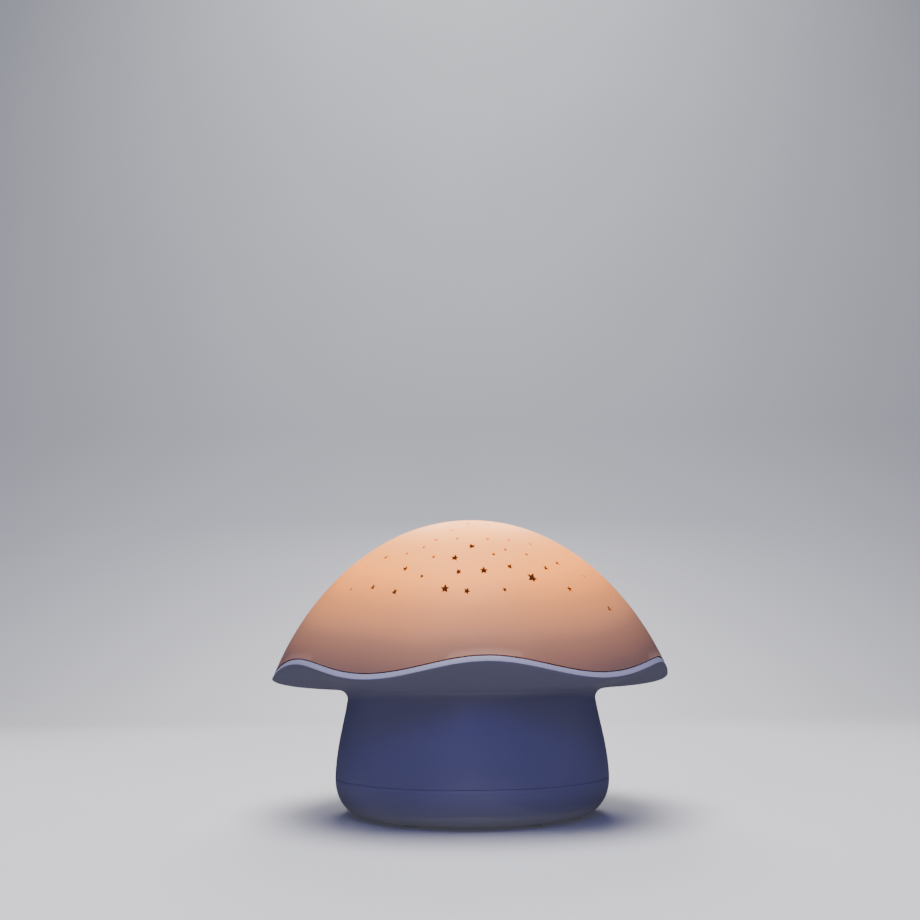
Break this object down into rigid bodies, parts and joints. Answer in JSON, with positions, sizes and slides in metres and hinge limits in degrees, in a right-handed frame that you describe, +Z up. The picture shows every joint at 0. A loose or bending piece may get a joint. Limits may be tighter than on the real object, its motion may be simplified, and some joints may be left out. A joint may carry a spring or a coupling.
{
  "type": "star night light projector",
  "caption": "Mushroom-shaped nursery night light: a star-pierced domed cap on a wavy brimmed stem, with a lamp inside, a power button and a cell bay in the foot.",
  "frame": {"origin": "on the vertical axis, in the plane that the foot pads stand on", "axes": "+Z up, front at -Y, power button at +Y, the battery door hinges at its -X end"},
  "size_m": [0.1517, 0.148, 0.11],
  "materials": {
    "cap_plastic": "fine satin moulding, glows peach when lit",
    "body_plastic": "smooth satin moulding, white with a cool tint",
    "liner_plastic": "clear plastic, lightly frosted",
    "inner_plastic": "plain satin moulding",
    "board": "green solder mask over woven glass laminate",
    "component": "moulded black package",
    "socket_plastic": "natural nylon",
    "lamp_package": "white package under a clear lens",
    "capacitor_can": "sleeved can",
    "contact_metal": "nickel plate",
    "screw_steel": "bright zinc plate",
    "cell_can": "printed sleeve over a steel can",
    "pad_rubber": "matte, slightly translucent",
    "lead_sleeve": "soft insulation"
  },
  "bodies": {
    "housing": {"cap_shell": "cap_plastic", "cap_liner": "liner_plastic", "stem_shell": "body_plastic", "base_shell": "body_plastic", "base_screws": "screw_steel", "foot_pad_1": "pad_rubber", "foot_pad_2": "pad_rubber", "foot_pad_3": "pad_rubber", "foot_pad_4": "pad_rubber", "battery_cell_1": "cell_can", "battery_cell_2": "cell_can", "battery_cell_3": "cell_can", "contact_negative": "contact_metal", "contact_positive": "contact_metal", "contact_bridge_left": "contact_metal", "contact_bridge_right": "contact_metal", "light_tray": "inner_plastic", "light_tray_screws": "screw_steel", "lamp_board": "board", "lamp_board_screws": "screw_steel", "lamp_emitter": "lamp_package", "main_board": "board", "main_board_screws": "screw_steel", "controller_chip": "component", "storage_capacitor": "capacitor_can", "lead_sockets": "socket_plastic", "switch_body": "component", "switch_board": "board", "switch_board_screws": "screw_steel", "battery_leads": "lead_sleeve", "lamp_leads": "lead_sleeve", "switch_leads": "lead_sleeve"},
    "battery_door": {"battery_door": "body_plastic"},
    "door_screw": {"battery_door_screw": "screw_steel"},
    "power_button": {"power_button": "body_plastic"},
    "switch_plunger": {"switch_plunger": "component"}
  },
  "joints": [
    {"name": "battery_door_swing", "type": "hinge", "parent": "housing", "child": "battery_door", "pos_m": [-0.02945, 0, 0.0008], "axis": [0, 1, 0], "range_deg": [0, 60]},
    {"name": "door_screw_turn", "type": "hinge", "parent": "battery_door", "child": "door_screw", "pos_m": [0.03275, 0, 0.0008], "axis": [0, 0, 1], "continuous": true},
    {"name": "power_button_press", "type": "slide", "parent": "housing", "child": "power_button", "axis": [0, -0.9824, -0.1869], "range_m": [0, 0.0006], "stiffness_N_per_m": 1500},
    {"name": "switch_plunger_press", "type": "slide", "parent": "housing", "child": "switch_plunger", "axis": [0, -0.9824, -0.1869], "range_m": [0, 0.0006]}
  ],
  "couplings": [
    {"joint": "switch_plunger_press", "follows": "power_button_press", "ratio": 1}
  ]
}
